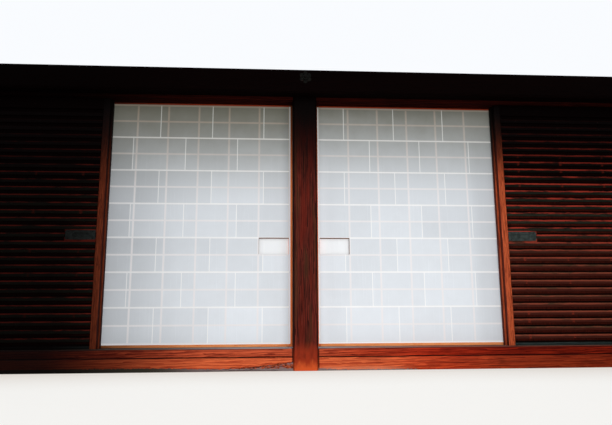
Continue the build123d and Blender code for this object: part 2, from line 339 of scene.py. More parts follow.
def smoked_and_shaded(colour, place, cloud, share=0.7, low=1.28, high=1.82):
    """More smoke and painted shade, from none at the height low to the share at the height high."""
    smoke_and_shade = place.axis(2).shaken(cloud, 0.1).ease(low, high)
    return (smoke_and_shade * share).mix(colour, soot_and_shade_black)


def smoked_and_shaded_touch(place, colour, cloud):
    """Smoke and painted shade over the upper stiles of the doors."""
    return smoked_and_shaded(colour, place, cloud)


def door_rail_touch(place, colour, cloud):
    """The lower rails are weathered grey with a painted sheen, and the upper ones are a red darkened by
    soot and painted shade.
    """
    sooty_shaded_red = display(40, 8, 6)
    upper = place.axis(2).ease(*between_rails)
    return (upper * 0.95).mix(colour, sooty_shaded_red)


def post_touch(place, colour, cloud):
    """The foot is worn to bare orange wood and made paler with painted light from the floor, the
    arrises are painted black as shade, and the faces have olive and red bands."""
    band_olive = display(70, 44, 26)
    band_red = display(112, 32, 20)
    worn_and_lit_wood = display(150, 50, 26)
    bare_and_lit_wood = display(216, 92, 44)
    arris_shade_black = display(16, 8, 7)
    worn_heights = (0.215, 0.110)
    bare_heights = (0.085, 0.010)
    x, y, z = place.axis(0), place.axis(1), place.axis(2)
    band = place.scaled(1.0, 1.0, 0.10).noise(22.0, detail=2.0, roughness=0.5)
    colour = (band.ease(0.52, 0.66) * 0.45).mix(colour, band_olive)
    colour = (band.ease(0.48, 0.36) * 0.40).mix(colour, band_red)
    blotch = place.scaled(1.0, 1.0, 0.35).noise(34.0)
    # Wear and painted light from the floor make the foot paler orange
    foot = z.shaken(blotch, 0.14).ease(*worn_heights)
    colour = (foot * (0.55 + 0.45 * blotch.ease(0.35, 0.6))).mix(colour, worn_and_lit_wood)
    bare = z.shaken(blotch, 0.12).ease(*bare_heights)
    colour = (bare * 0.9).mix(colour, bare_and_lit_wood)
    flat_half = post_half - post_chamfer
    flat_front = post_face + post_chamfer
    # Painted shade: the chamfers at the sides of the front are black
    arris = x.from_nearest(post_spacing).ease(flat_half - 0.001, flat_half + 0.002)
    arris = arris * y.ease(flat_front + 0.003, flat_front) * (1 - foot * 0.55)
    colour = (arris * 0.95).mix(colour, arris_shade_black)
    return smoked_and_shaded(colour, place, cloud, share=0.6)


def sill_grime_and_shade(x, z, wave, colour):
    """Grime in the wavy joint of the two sills, and painted shade in the gap beside the middle post."""
    joint_grime = display(34, 7, 4)
    gap_shade_colour = display(24, 7, 4)
    joint = abs((z - sill_joint).shaken(wave, 0.010)).ease(0.0060, 0.0020)
    colour = joint.mix(colour, joint_grime)
    # Painted shade in the gap beside the middle post
    post_gap_shade = abs(x).ease(post_half + 0.010, post_half + 0.004)
    return (post_gap_shade * 0.9).mix(colour, gap_shade_colour)


def sill_streaks(place, x, colour):
    """The left sills darken outwards with painted shade, and the right ones have dark red blotches and
    streaks.
    """
    left_shade_tint = (0.58, 0.50, 0.50, 1.0)
    dark_red = display(72, 18, 10)
    # Painted shade: darker towards the far left
    colour = x.ease(-0.60, -1.40).mix(colour, left_shade_tint, "MULTIPLY")
    blotches = place.scaled(0.22, 1.0, 1.0).noise(15.0).ease(0.54, 0.68)
    streaks = place.scaled(0.05, 1.0, 1.0).noise(95.0).ease(0.50, 0.62)
    right = x.ease(0.10, 0.80)
    return (blotches.either(streaks) * right * 0.45).mix(colour, dark_red)


def sill_edges(x, z, wave, colour):
    """A grey worn top with a painted reflection, over a painted shadow line under its arris,
    and a paler foot to the right of the middle post.
    """
    arris_shadow_brown = display(60, 20, 14)
    left_grey = display(92, 82, 72)
    right_grey = display(158, 157, 158)
    foot_orange = display(232, 150, 112)
    height = z.shaken(wave, 0.004)
    # Painted shadow: a dark line just under the top arris
    under_top_shadow = height.ease(sill_top - 0.0115, sill_top - 0.0095)
    colour = (under_top_shadow * 0.6).mix(colour, arris_shadow_brown)
    # Worn top with a painted reflection, darker towards the left with painted shade
    top = height.ease(sill_top - 0.0050, sill_top - 0.0025)
    colour = (top * 0.85).mix(colour, x.ease(-1.20, -0.20).mix(left_grey, right_grey))
    pale_foot = z.ease(0.034, 0.016) * x.ease(0.05, 0.15) * (1 - x.ease(0.55, 0.80))
    return (pale_foot * 0.4).mix(colour, foot_orange)


# The worn wedge at the foot of the left ground sill
wedge_start = -0.76
wedge_length = 0.66
wedge_rise = 0.058
wedge_curve = 1.4


def sill_wedge(place, x, z, ragged, colour):
    """Where the left ground sill is worn: a wedge that rises towards the middle post, with
    slanting bare streaks, grey patches and a dark rim."""
    streak_brown = display(66, 26, 17)
    streak_orange = display(190, 88, 52)
    patch_grey = display(128, 108, 108)
    rim_brown = display(40, 12, 8)
    worn_share = ((x - wedge_start) / wedge_length).either(0.0) ** wedge_curve
    worn_top = worn_share * wedge_rise + ragged * 0.6
    left = 1 - x.ease(-0.02, 0.0)
    below_joint = z.ease(sill_joint + 0.001, sill_joint)
    worn = (z - worn_top).ease(0.001, -0.001) * left * below_joint
    slant = place.scaled(1.0, 0.0, -3.0).turned(0.0, -0.35, 0.0).noise(42.0, detail=4.0, roughness=0.7)
    bare = slant.ease(0.42, 0.60).mix(streak_brown, streak_orange)
    patches = place.noise(26.0).ease(0.46, 0.62) * x.ease(-0.50, -0.20)
    bare = patches.mix(bare, patch_grey)
    colour = (worn * 0.9).mix(colour, bare)
    rim = abs(z - worn_top).ease(0.0030, 0.0012) * x.ease(wedge_start, wedge_start + 0.06) * left
    return (rim * 0.85).mix(colour, rim_brown)


def sill_foot(x, z, ragged, colour):
    """The right track sill and the far right are redder, and a ragged grey edge lies along the
    floor, deepest at the far left."""
    track_tint = (0.90, 0.58, 0.48, 1.0)
    far_right_tint = (1.04, 0.62, 0.50, 1.0)
    left_grey = display(58, 54, 44)
    right_grey = display(128, 112, 110)
    right_track = x.ease(0.05, 0.50) * z.ease(sill_joint - 0.001, sill_joint)
    colour = right_track.mix(colour, track_tint, "MULTIPLY")
    colour = x.ease(0.45, 1.00).mix(colour, far_right_tint, "MULTIPLY")
    right_loss = x.ease(0.02, 0.30) * 0.011
    far_right_loss = x.ease(0.70, 0.90) * 0.012
    far_left_gain = x.ease(-0.60, -1.10) * 0.009
    reach = 0.018 - right_loss - far_right_loss + far_left_gain
    foot = (z + ragged - reach).ease(0.0015, -0.0010)
    return foot.mix(colour, x.ease(-1.10, -0.50).mix(left_grey, right_grey))


def sill_touch(place, colour, cloud):
    """What grime, feet and the floor have done to the ground sills and the track sills, with painted shade
    and a painted reflection on them.
    """
    x, z = place.axis(0), place.axis(2)
    wave = place.noise(5.0)
    ragged = (place.scaled(1.0, 0.0, 0.0).noise(38.0, detail=4.0, roughness=0.7) - 0.5) * 0.030
    colour = sill_grime_and_shade(x, z, wave, colour)
    colour = sill_streaks(place, x, colour)
    colour = sill_edges(x, z, wave, colour)
    colour = sill_wedge(place, x, z, ragged, colour)
    return sill_foot(x, z, ragged, colour)


def stile_touch(place, colour, cloud):
    """The right screen's stiles are darker and redder than the left one's."""
    dark_red = display(176, 62, 34)
    right = place.axis(0).ease(-0.02, 0.02)
    return (right * 0.45).mix(colour, dark_red)


def screen_rail_touch(place, colour, cloud):
    """The screens' upper rails are redder than their lower ones."""
    deep_red = display(186, 50, 14)
    upper = place.axis(2).ease(*between_rails)
    return (upper * 0.9).mix(colour, deep_red)


def batten_touch(place, colour, cloud):
    """Each batten's upper part is worn red with painted light, and its lower part is weathered
    olive with a painted sheen. Low down on the right the upper part is browner and the lower
    part redder. Red spots are rubbed around the nails, and smoke and painted shade hide the
    colours higher up."""
    lit_worn_dark = display(46, 18, 14)
    lit_worn_red = display(160, 52, 38)
    low_red = display(78, 22, 15)
    low_lit_olive = display(88, 72, 52)
    rubbed_red = display(170, 60, 40)
    bow_room = 0.001
    blur = 0.002
    x, z = place.axis(0), place.axis(2)
    from_first = z - batten_low.z + bow_room
    rise = from_first % batten_pitch
    luck = math.floor(from_first / batten_pitch).chance(x.sign() + 3)
    patch = place.moved(0.0, 0.0, 0.013).scaled(0.13, 1.0, 1.0).noise(46.0, detail=4.0, roughness=0.7)
    left = x.ease(0.5, -0.5)
    edge = batten_height * (0.64 + left * 0.12)
    upper = rise.shaken(patch, 0.009).ease(edge - blur, edge + blur)
    red = patch.shaken(luck, 0.16).ease(0.36, 0.58).mix(lit_worn_dark, lit_worn_red)
    low_right = z.ease(1.05, 0.70) * (1 - left)
    body = (low_right * 0.6).mix(colour, low_red)
    body = smoked_and_shaded(body, place, cloud, share=0.9, low=1.10, high=1.55)
    worn = (low_right * 0.5).mix(red, low_lit_olive)
    worn = smoked_and_shaded(worn, place, cloud, share=0.6)
    # Upper part worn red with painted light, lower part weathered olive with a painted sheen
    colour = (upper * 0.92).mix(body, worn)
    ahead = x.ease(0.001, -0.001) * left_doors_ahead
    from_nail = (abs(x) + ahead - first_nail).from_nearest(nail_spacing)
    rubbed = from_nail.shaken(patch, 0.03).ease(0.011, 0.004) * luck.ease(0.55, 0.85)
    under_smoke_and_shade = z.ease(1.70, 1.40)
    return (rubbed * under_smoke_and_shade * 0.30).mix(colour, rubbed_red)


def board_touch(place, colour, cloud):
    """A painted black shadow on the ledge above each batten, and more smoke and painted shade higher up."""
    ledge_shadow_black = display(6, 3, 2)
    rise = (place.axis(2) - batten_low.z) % batten_pitch
    # Painted shadow of the batten below, on the board just above it
    ledge = rise.ease(batten_height + 0.016, batten_height + 0.010)
    colour = (ledge * 0.95).mix(colour, ledge_shadow_black)
    return smoked_and_shaded(colour, place, cloud, share=0.9, low=1.00, high=1.45)


# Paper, iron

def paper(name, tint, top_shade_colour, shade_and_tone_share, barred):
    """Handmade paper pasted on the lattice: a tone for each sheet and cell, fibres, flecks, fine
    upright creases, and painted shade that turns the top to the colour top_shade_colour and
    darkens the paper higher up and at the far ends, with painted light near the middle post.
    shade_and_tone_share, up to 1, is how much of the painted shade and the uneven tone it has.
    If it is barred, the bars behind it show as soft warm bands."""
    band_white = display(247, 242, 241)
    band_in_top_shade = display(166, 150, 132)
    cell_seed = 40
    material, shader, place = start(name)
    x, z = place.axis(0), place.axis(2)
    across = abs(x) - first_column
    down = top_line - z
    column = math.floor(across / column_pitch)
    row = math.floor(down / row_pitch)
    strip = math.floor(row / rows_per_strip)
    first = short_sheet + (strip % 2) * (long_sheet - short_sheet)
    sheet = math.floor((abs(x) - paper_low.x - first) / seam_pitch)
    fibres = place.noise(900.0, roughness=0.7)
    clouds = place.noise(11.0, roughness=0.5)
    creases = place.scaled(1.0, 1.0, 0.03).noise(75.0, roughness=0.7).ease(0.55, 0.66)
    flecks = place.scaled(1.0, 1.0, 0.25).noise(240.0, detail=2.0, roughness=0.5).ease(0.66, 0.74)
    right = x.ease(-0.1, 0.1)
    by_sheet = sheet.chance(strip, x.sign()) * (0.12 - right * 0.06)
    by_cell = column.chance(row + cell_seed, x.sign()) * (0.05 - right * 0.02)
    # Painted shade: darker higher up and at the far left and far right
    higher_shade = z.ease(0.30, 1.25) * 0.10
    far_left_shade = x.ease(-0.80, -1.40) * 0.20
    far_right_shade = x.ease(1.22, 1.36) * 0.10
    dull = 0.10 - by_sheet + by_cell - right * 0.02 - clouds * 0.07 + flecks * 0.03
    dull = dull + higher_shade + far_left_shade + far_right_shade
    # Painted light: brighter near the middle post
    near_post_light = across.ease(0.10, 0.0) * 0.10
    tone = 1.0 - dull * shade_and_tone_share + creases * 0.025 + fibres * 0.02 + near_post_light
    colour = tone.node("Mix", {"data_type": "RGBA", "blend_type": "MULTIPLY"},
                       {0: 1.0, 6: tint, 7: tone}, output=2)
    if barred:
        upright_bars = across.from_nearest(column_pitch).ease(0.0095, 0.0045)
        cross_bars = down.from_nearest(row_pitch).ease(0.0090, 0.0040)
        bars = upright_bars.either(cross_bars)
        colour = (bars * 0.62).mix(colour, band_white)
        top_shade_colour = (bars * 0.6).mix(top_shade_colour, band_in_top_shade)
    # Painted shade turns the top to its shaded colour
    top_shade = (z.shaken(clouds, 0.1) - right * 0.085).ease(1.10, 2.00)
    colour = (top_shade * shade_and_tone_share).mix(colour, top_shade_colour)
    relief = fibres * 0.5 + creases
    feed(shader, Base_Color=colour, Roughness=0.82 + fibres * 0.1, Specular_IOR_Level=0.2,
         Normal=relief.bump(0.0007, 0.4))
    return material


def iron(name, tone, deep):
    """Hand forged iron with a dark green patina, a little rust, and smoke and painted shade towards the
    left.
    """
    rust_brown = display(70, 42, 40)
    material, shader, place = start(name)
    clouds = place.noise(40.0, detail=4.0)
    pits = place.noise(420.0, roughness=0.7)
    rust = place.noise(95.0, detail=4.0, roughness=0.7).ease(0.58, 0.72)
    colour = clouds.ease(0.3, 0.7).mix(tone, deep)
    colour = (rust * 0.35).mix(colour, rust_brown)
    # Smoke and painted shade towards the left
    smoke_and_shade = place.axis(0).ease(*left_dusk_places) * 0.85
    colour = smoke_and_shade.mix(colour, soot_and_shade_black)
    relief = clouds * 0.5 + pits * 0.5
    feed(shader, Base_Color=colour, Metallic=0.10 - rust * 0.08, Roughness=0.55 + pits * 0.3,
         Specular_IOR_Level=0.05, Normal=relief.bump(0.0010, 0.6))
    return material


finishes = {
    "post": wood("post_wood", along_z, display(114, 44, 33), display(42, 15, 11), seed=1.0,
                 ring=0.014, shine=0.025, left_dusk=0.0, touch=post_touch),
    "ground_sill": wood("ground_sill_wood", along_x, display(234, 114, 66), display(166, 60, 32),
                        seed=2.3, ring=0.016, rough=0.48, right_dusk=0.62, touch=sill_touch),
    "track_sill": wood("track_sill_wood", along_x, display(216, 96, 58), display(120, 34, 18),
                       seed=3.7, ring=0.015, rough=0.42, right_dusk=0.52, touch=sill_touch),
    # Smoke and painted shade darken the beam and the head rails
    "beam": wood("beam_wood", along_x, display(16, 5, 4), display(6, 2, 2), seed=5.1, ring=0.014,
                 rough=0.65, shine=0.01, soot_and_shade=0.6),
    "head": wood("head_wood", along_x, display(56, 12, 6), display(26, 5, 3), seed=6.2,
                 ring=0.014, rough=0.65, shine=0.01, soot_and_shade=0.3),
    "screen_stile": wood("screen_stile_wood", along_z, display(255, 158, 92), display(240, 112, 56),
                         seed=7.4, ring=0.008, soot_and_shade=0.85, touch=stile_touch),
    "screen_rail": wood("screen_rail_wood", along_x, display(248, 168, 108), display(220, 122, 68),
                        seed=8.6, ring=0.008, soot_and_shade=0.5, touch=screen_rail_touch),
    "lattice": wood("lattice_wood", along_z, display(150, 116, 98), display(104, 76, 64), seed=9.5,
                    ring=0.006, soot_and_shade=0.5),
    "door_stile": wood("door_stile_wood", along_z, display(218, 102, 60), display(112, 42, 22),
                       seed=10.2, ring=0.009, touch=smoked_and_shaded_touch),
    "door_side": wood("door_side_wood", along_z, display(112, 42, 28), display(60, 20, 13),
                      seed=10.9, ring=0.009, touch=smoked_and_shaded_touch),
    # The door rails' grey-green is weathering with a painted sheen
    "door_rail": wood("door_rail_wood", along_x, display(50, 60, 58), display(24, 28, 27),
                      seed=11.9, ring=0.010, shine=0.01, touch=door_rail_touch),
    # The battens' olive is weathering with a painted sheen
    "batten": wood("batten_wood", along_x, display(42, 44, 35), display(19, 25, 20), seed=12.4,
                   ring=0.008, shine=0.02, left_dusk=0.86, touch=batten_touch),
    "board": wood("board_wood", along_z, display(72, 23, 14), display(38, 11, 7), seed=13.8,
                  ring=0.010, rough=0.6, shine=0.01, touch=board_touch),
    "paper": paper("screen_paper", display(234, 239, 244), display(114, 113, 100),
                   shade_and_tone_share=1.0, barred=True),
    "lap": paper("lapped_paper", display(254, 255, 255), display(140, 138, 118),
                 shade_and_tone_share=0.55, barred=False),
    "pull_paper": paper("pull_paper", display(250, 253, 255), display(120, 118, 102),
                        shade_and_tone_share=0.4, barred=False),
    "plate": iron("plate_iron", display(58, 66, 64), display(38, 44, 42)),
    "cover": iron("cover_iron", display(20, 20, 16), display(8, 8, 7)),
    "nail": iron("nail_iron", display(40, 26, 23), display(18, 12, 11)),
}


def finish_for(node):
    """Which finish a CAD node or its worked copy has."""
    for words, name in (("post", "post"), ("ground_sill", "ground_sill"), ("track_sill", "track_sill"),
                        ("face_beam", "beam"), ("head_rail", "head"), ("nail_cover", "cover"),
                        ("pull_plate", "plate"), ("pull_paper", "pull_paper"), ("_paper", "paper"),
                        ("_bars", "lattice"), ("boards", "board"), ("battens", "batten")):
        if words in node:
            return finishes[name]
    kind = "screen" if "_screen_" in node else "door"
    return finishes[f"{kind}_{'stile' if 'stile' in node else 'rail'}"]


# Hand tools

# Places that are closer than this are one place
touching = 0.0001
arris_angle = math.radians(30)
smooth_angle = math.radians(35)
flat_angle = math.radians(0.5)


def take(piece):
    """Deselects everything else and makes the piece active."""
    bpy.ops.object.select_all(action="DESELECT")
    piece.select_set(True)
    bpy.context.view_layer.objects.active = piece


def edit(piece):
    """Opens the piece in edit mode, with nothing selected."""
    take(piece)
    bpy.ops.object.mode_set(mode="EDIT")
    bpy.ops.mesh.select_mode(type="VERT")
    bpy.ops.mesh.select_all(action="DESELECT")


def done():
    bpy.ops.object.mode_set(mode="OBJECT")


def pick(piece, test, kind="faces"):
    """Selects the faces or edges whose middle passes the test, and nothing else."""
    bpy.ops.mesh.select_mode(type={"faces": "FACE", "edges": "EDGE"}[kind])
    bpy.ops.mesh.select_all(action="DESELECT")
    mesh = bmesh.from_edit_mesh(piece.data)
    for element in getattr(mesh, kind):
        if kind == "faces":
            middle = element.calc_center_median()
        else:
            middle = (element.verts[0].co + element.verts[1].co) / 2
        element.select = bool(test(middle))
    bmesh.update_edit_mesh(piece.data)
    mesh.select_flush_mode()


def modify(piece, kind, **settings):
    """Adds a modifier and applies it."""
    take(piece)
    modifier = piece.modifiers.new(kind.lower(), kind)
    for key, value in settings.items():
        setattr(modifier, key, value)
    bpy.ops.object.modifier_apply(modifier=modifier.name)


def settle(piece):
    """Puts the piece's place, turn and size into its mesh."""
    take(piece)
    bpy.ops.object.transform_apply(location=True, rotation=True, scale=True)


def face_outwards(piece):
    """Turns the faces of a closed mesh outwards."""
    edit(piece)
    bpy.ops.mesh.select_all(action="SELECT")
    bpy.ops.mesh.normals_make_consistent(inside=False)
    done()


def block(name, low, high):
    """A cube primitive between two corners, with its place in its mesh."""
    middle = [(a + b) / 2 for a, b in zip(low, high)]
    bpy.ops.object.select_all(action="DESELECT")
    bpy.ops.mesh.primitive_cube_add(size=1, location=middle)
    piece = bpy.context.active_object
    piece.name = name
    piece.scale = [b - a for a, b in zip(low, high)]
    settle(piece)
    return piece


def shade(piece):
    take(piece)
    bpy.ops.object.shade_smooth_by_angle(angle=smooth_angle)


def soften(piece, width, segments=2):
    """Eased arrises and shading."""
    modify(piece, "BEVEL", width=width, segments=segments, limit_method="ANGLE",
           angle_limit=arris_angle, harden_normals=False)
    shade(piece)


def join(name, pieces):
    """One object of several, under a new name."""
    bpy.ops.object.select_all(action="DESELECT")
    for piece in pieces:
        piece.select_set(True)
    bpy.context.view_layer.objects.active = pieces[0]
    bpy.ops.object.join()
    pieces[0].name = name
    return pieces[0]


def paint(piece, *materials):
    piece.data.materials.clear()
    for material in materials:
        piece.data.materials.append(material)


def stand_for(piece, node):
    """The piece takes the place of a CAD node, on its body."""
    if not piece.data.materials:
        paint(piece, finish_for(node))
    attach(piece, body_of[node])
    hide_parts(node)


def merged_copy(node, name):
    """A copy of a CAD node with its triangles merged into whole faces."""
    piece = bpy.data.objects.new(name, frame["nodes"][node].data.copy())
    bpy.context.collection.objects.link(piece)
    take(piece)
    if piece.data.has_custom_normals:
        bpy.ops.mesh.customdata_custom_splitnormals_clear()
    edit(piece)
    bpy.ops.mesh.select_all(action="SELECT")
    bpy.ops.mesh.remove_doubles(threshold=touching / 10)
    bpy.ops.mesh.dissolve_limited(angle_limit=flat_angle)
    done()
    return piece


def crack(piece, begin, end, inward, width, depth, seed, cuts=11, wander=0.9):
    """Cuts a ragged crack from begin to end, points on the surface. It tapers to both ends and
    inwards."""
    drift_kept = 0.8
    least_open = 0.04
    taper = 1.7
    narrowing = 0.85
    overshoot = 0.002
    chance = random.Random(seed)
    begin, end, inward = Vector(begin), Vector(end), Vector(inward)
    along = end - begin
    across = along.cross(inward).normalized()
    cutter = block("crack_cutter", (0, -0.5, -0.5), (1, 0.5, 0.5))
    edit(cutter)
    pick(cutter, lambda m: abs(m.x - 0.5) < 0.01 and abs(m.y) > 0.4 and abs(m.z) > 0.4, "edges")
    bpy.ops.mesh.subdivide(number_cuts=cuts)
    done()
    drift = [0.0]
    for _ in range(cuts + 1):
        drift.append(drift[-1] * drift_kept + chance.uniform(-1, 1) * width * wander)
    for vertex in cutter.data.vertices:
        share, side, deep = vertex.co.x, vertex.co.y * 2, vertex.co.z + 0.5
        open_share = least_open + (1 - least_open) * max(0.0, 1 - abs(2 * share - 1) ** taper)
        half = width / 2 * open_share * (1 - narrowing * deep)
        bend = drift[round(share * (cuts + 1))]
        sink = depth * open_share * deep if deep > 0.5 else -overshoot
        vertex.co = begin + along * share + across * (bend + side * half) + inward * sink
    face_outwards(cutter)
    modify(piece, "BOOLEAN", object=cutter, operation="DIFFERENCE", solver="EXACT")
    bpy.data.objects.remove(cutter)


def copies_at(first, places):
    """The first piece and a copy of it, with its own mesh, at each further place."""
    pieces = [first]
    for place in places[1:]:
        copy = first.copy()
        copy.data = first.data.copy()
        copy.data.transform(Matrix.Translation(Vector(place) - Vector(places[0])))
        bpy.context.collection.objects.link(copy)
        pieces.append(copy)
    return pieces


def nail_heads(name, places, radius):
    """Low forged nail heads, facing -Y: one is shaped and the rest are copied."""
    bpy.ops.object.select_all(action="DESELECT")
    bpy.ops.mesh.primitive_cylinder_add(vertices=8, radius=radius, depth=radius, location=places[0],
                                        rotation=(math.pi / 2, 0, 0))
    head = bpy.context.active_object
    settle(head)
    front = places[0][1] - radius / 2
    ledge = radius * 0.35
    edit(head)
    pick(head, lambda m: m.y < front + touching)
    for rise in (radius * 0.28, radius * 0.10):
        bpy.ops.mesh.inset(thickness=ledge)
        bpy.ops.transform.translate(value=(0, -rise, 0))
    done()
    face_outwards(head)
    piece = join(name, copies_at(head, places))
    shade(piece)
    return piece


# Posts, sills, beam and head rails

def dress_posts():
    for node in ("centre_post", "left_post", "right_post"):
        piece = merged_copy(node, node + "_worked")
        soften(piece, width=0.002)
        stand_for(piece, node)


# Drying cracks in the left ground sill: x and z of both ends, width and depth
sill_cracks = ((-0.720, 0.006, -0.580, 0.020, 0.0050, 0.012), (-0.610, 0.004, -0.450, 0.034, 0.0060, 0.014),
               (-0.500, 0.008, -0.360, 0.042, 0.0055, 0.012), (-0.420, 0.004, -0.260, 0.056, 0.0065, 0.014),
               (-0.300, 0.014, -0.150, 0.064, 0.0060, 0.012), (-0.230, 0.006, -0.110, 0.040, 0.0055, 0.012))


def dress_sills():
    """The ground sills and track sills. The left ground sill has drying cracks, and a long split
    along the foot of its worn wedge."""
    inward = (0, 1, 0)
    split_begin = (wedge_start, sill_front, 0.0)
    split_end = (-0.095, sill_front, 0.001)
    for side, _ in sides:
        for kind, arris in (("ground_sill", 0.0030), ("track_sill", 0.0016)):
            node = f"{side}_{kind}"
            piece = merged_copy(node, node + "_worked")
            soften(piece, arris)
            if node == "left_ground_sill":
                for seed, (x0, z0, x1, z1, width, depth) in enumerate(sill_cracks):
                    crack(piece, (x0, sill_front, z0), (x1, sill_front, z1), inward, width, depth, seed)
                crack(piece, split_begin, split_end, inward, width=0.022, depth=0.016, seed=40,
                      cuts=46, wander=0.16)
                shade(piece)
            stand_for(piece, node)


def dress_head():
    for node, arris in (("face_beam", 0.002), ("left_head_rail", 0.0015), ("right_head_rail", 0.0015)):
        piece = merged_copy(node, node + "_worked")
        soften(piece, arris)
        stand_for(piece, node)


def forge_petal(turn, ring, back, middle):
    """A domed petal with a crease along it, at the distance ring from the cover's middle. It
    starts as the upper half of a ball, with its rim filled."""
    radius, rise = 0.0168, 0.0075
    narrowing = 0.22
    crease_depth, crease_width = 0.30, 0.16
    bpy.ops.object.select_all(action="DESELECT")
    bpy.ops.mesh.primitive_uv_sphere_add(segments=20, ring_count=12, radius=1)
    petal = bpy.context.active_object
    settle(petal)
    edit(petal)
    pick(petal, lambda m: m.z < -0.02)
    bpy.ops.mesh.delete(type="FACE")
    pick(petal, lambda m: m.z < 0.05 and (m.x ** 2 + m.y ** 2) > 0.9, "edges")
    bpy.ops.mesh.edge_face_add()
    done()
    for vertex in petal.data.vertices:
        narrow = 1 - narrowing * max(0.0, -vertex.co.x)
        crease = 1 - crease_depth * math.exp(-(vertex.co.y / crease_width) ** 2)
        vertex.co = Vector((vertex.co.x * radius, vertex.co.y * radius * narrow,
                            max(vertex.co.z, 0.0) * rise * crease))
    petal.data.transform(Matrix.Translation((0, back, middle))
                         @ Matrix.Rotation(math.pi / 2, 4, "X")
                         @ Matrix.Rotation(turn, 4, "Z")
                         @ Matrix.Translation((ring, 0, 0)))
    face_outwards(petal)
    return petal


def forge_disc(radius, rise, ease, back, middle):
    """A disc in the cover's middle, with a rounded front edge."""
    bpy.ops.object.select_all(action="DESELECT")
    bpy.ops.mesh.primitive_cylinder_add(vertices=32, radius=radius, depth=rise,
                                        location=(0, back - rise / 2, middle),
                                        rotation=(math.pi / 2, 0, 0))
    disc = bpy.context.active_object
    settle(disc)
    edit(disc)
    pick(disc, lambda m: m.y < back - rise + touching, "edges")
    bpy.ops.mesh.bevel(offset=ease, segments=4)
    done()
    return disc


def forge_nail_cover():
    """Six domed petals around a raised boss and a knob, over the nail of the face beam."""
    petals = 6
    ring = 0.031
    low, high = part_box("nail_cover")
    back = high.y
    middle = (low.z + high.z) / 2
    pieces = []
    for number in range(petals):
        turn = math.radians(90 + number * 360 / petals)
        pieces.append(forge_petal(turn, ring, back, middle))
    pieces.append(forge_disc(radius=0.021, rise=0.011, ease=0.005, back=back, middle=middle))
    pieces.append(forge_disc(radius=0.010, rise=back - low.y, ease=0.004, back=back, middle=middle))
    piece = join("nail_cover_forged", pieces)
    shade(piece)
    stand_for(piece, "nail_cover")


# Leaves

def dress_leaf_frames():
    """The stiles and rails of all the leaves, with eased arrises. The sides of the door stiles
    are darker than their faces."""
    screen_arris, door_arris = 0.0004, 0.0012
    for node in sorted(body_of):
        if "stile" in node or ("_rail" in node and "head" not in node):
            piece = merged_copy(node, node + "_worked")
            soften(piece, screen_arris if "_screen_" in node else door_arris)
            if "_door_" in node and "stile" in node:
                paint(piece, finishes["door_stile"], finishes["door_side"])
                for face in piece.data.polygons:
                    face.material_index = int(abs(face.normal.x) > 0.9)
            stand_for(piece, node)


def flat_sheet(name):
    """A flat grid over the lattice, with a border out to the paper's edges. It stays in edit
    mode."""
    per_cell = 6
    bpy.ops.object.select_all(action="DESELECT")
    bpy.ops.mesh.primitive_grid_add(x_subdivisions=columns * per_cell,
                                    y_subdivisions=rows * per_cell, size=1)
    sheet = bpy.context.active_object
    sheet.name = name
    sheet.scale = (lattice_width, lattice_height, 1)
    sheet.rotation_euler = (math.pi / 2, 0, 0)
    sheet.location = (first_column + lattice_width / 2, paper_front, top_line - lattice_height / 2)
    settle(sheet)
    edit(sheet)
    for line, axis, edge in ((first_column, 0, paper_low.x), (last_column, 0, paper_high.x),
                             (bottom_line, 2, paper_low.z), (top_line, 2, paper_high.z)):
        pick(sheet, lambda m: abs(m[axis] - line) < touching, "edges")
        move = [0.0, 0.0, 0.0]
        move[axis] = edge - line
        bpy.ops.mesh.extrude_region_move(TRANSFORM_OT_translate={"value": move})
    return sheet


def cut(sheet, place, axis, low=-beyond, high=beyond):
    """Cuts the sheet along one line, within a range of heights."""
    pick(sheet, lambda m: low < m.z < high)
    point, normal = [0.0, paper_front, 0.0], [0.0, 0.0, 0.0]
    point[axis], normal[axis] = place, 1.0
    bpy.ops.mesh.bisect(plane_co=point, plane_no=normal, threshold=touching / 2)


def cut_laps(sheet):
    """Cuts the edges of every lap, and gives back the laps' ranges in X and Z."""
    laps = []
    for line in range(rows_per_strip, rows, rows_per_strip):
        z = top_line - line * row_pitch
        low, high = z - level_seam / 2, z + level_seam / 2
        cut(sheet, low, 2)
        cut(sheet, high, 2)
        laps.append((-beyond, beyond, low, high))
    for strip in range(rows // rows_per_strip):
        high = top_line - strip * rows_per_strip * row_pitch
        low = high - rows_per_strip * row_pitch
        x = paper_low.x + (long_sheet if strip % 2 else short_sheet)
        while x < paper_high.x - upright_seam:
            near, far = x - upright_seam / 2, x + upright_seam / 2
            cut(sheet, near, 0, low, high)
            cut(sheet, far, 0, low, high)
            laps.append((near, far, low, high))
            x += seam_pitch
    return laps


def open_pull_cell(sheet):
    """Cuts out the cell of the finger pull."""
    top = top_line - pull_row * row_pitch - bar_width / 2 + bar_above_pull
    bottom = top_line - (pull_row + 1) * row_pitch + bar_width / 2
    near = first_column + bar_width / 2 - bar_beside_pull
    far = first_column + column_pitch - bar_width / 2 + bar_beside_pull
    for place, axis in ((top, 2), (bottom, 2), (near, 0), (far, 0)):
        cut(sheet, place, axis)
    pick(sheet, lambda m: near < m.x < far and bottom < m.z < top)
    bpy.ops.mesh.delete(type="FACE")


def sink_cells(sheet, chance):
    """The paper sags a little between the bars, in each cell by its own depth."""
    least, most = 0.0002, 0.0011
    fullness = 0.8
    depths = {(column, row): chance.uniform(least, most)
              for column in range(columns) for row in range(rows)}
    for vertex in sheet.data.vertices:
        across = (vertex.co.x - first_column) / column_pitch
        down = (top_line - vertex.co.z) / row_pitch
        if 0 < across < columns and 0 < down < rows:
            level_sag = max(0.0, math.sin(math.pi * (across % 1)))
            upright_sag = max(0.0, math.sin(math.pi * (down % 1)))
            sag = (level_sag * upright_sag) ** fullness
            vertex.co.y += depths[(int(across), int(down))] * sag


